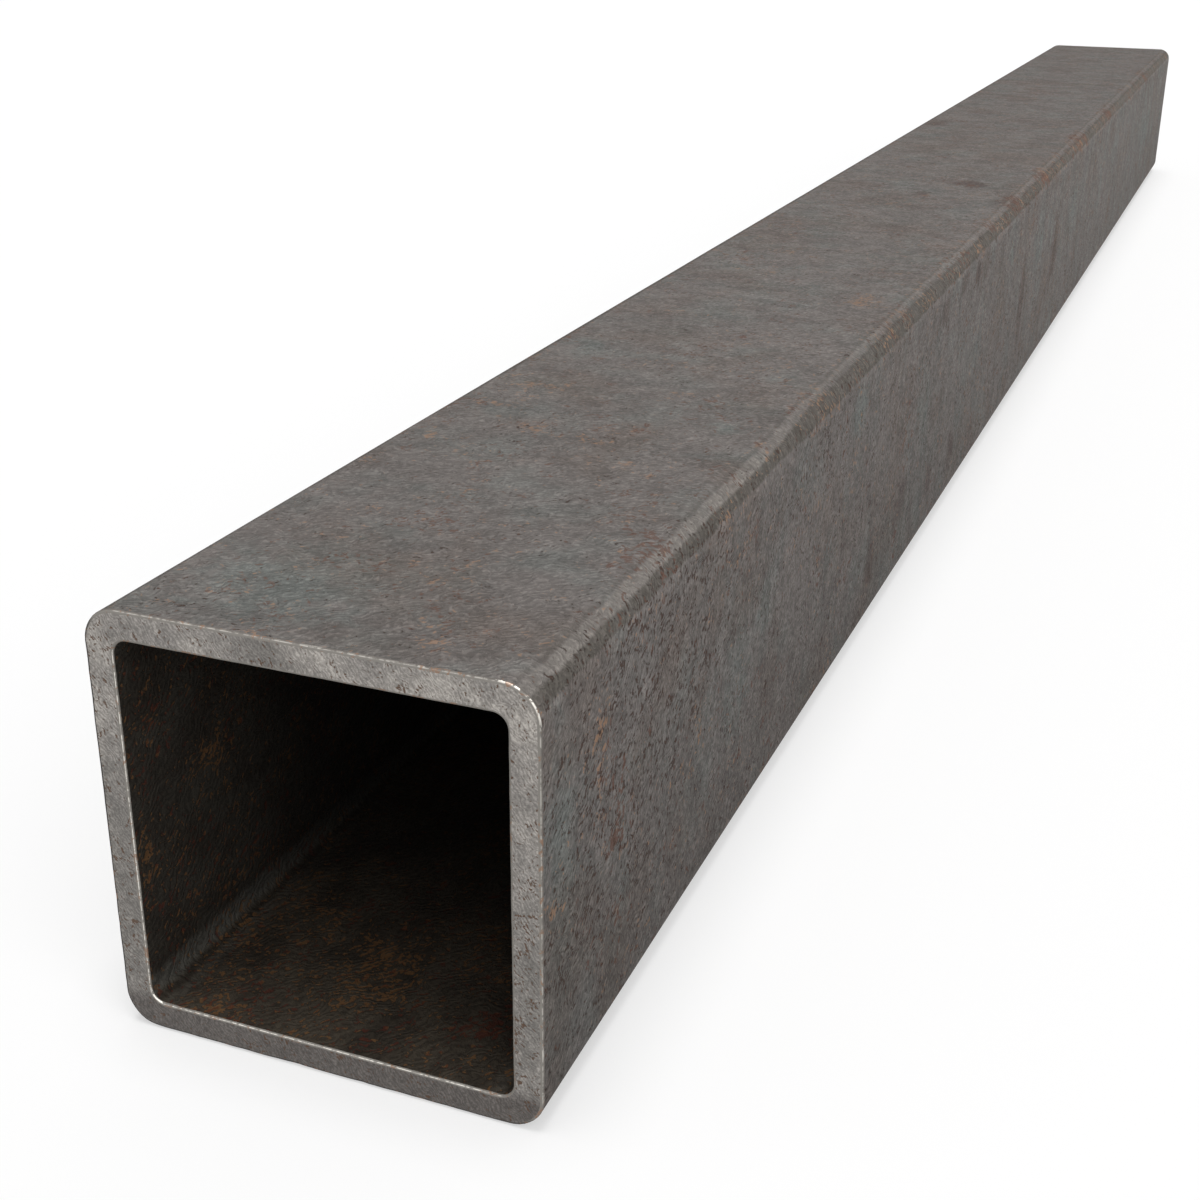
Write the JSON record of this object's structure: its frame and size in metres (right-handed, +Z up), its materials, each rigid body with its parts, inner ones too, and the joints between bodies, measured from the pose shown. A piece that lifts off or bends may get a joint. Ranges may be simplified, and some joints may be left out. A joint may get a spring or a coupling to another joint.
{
  "type": "square steel tube",
  "caption": "Straight length of hollow square steel section with rounded corners, sawn square and open at both ends, dark with mill scale and light rust.",
  "frame": {"origin": "under the middle of the tube, on the plane of its bottom face", "axes": "+X along the tube, +Y across it, +Z up from the face it lies on"},
  "size_m": [1, 0.075, 0.075],
  "materials": {
    "steel": "hot-rolled mill scale with light rust outside, bare sawn steel on the cut ends"
  },
  "bodies": {
    "root": {"square_tube": "steel"}
  },
  "joints": []
}
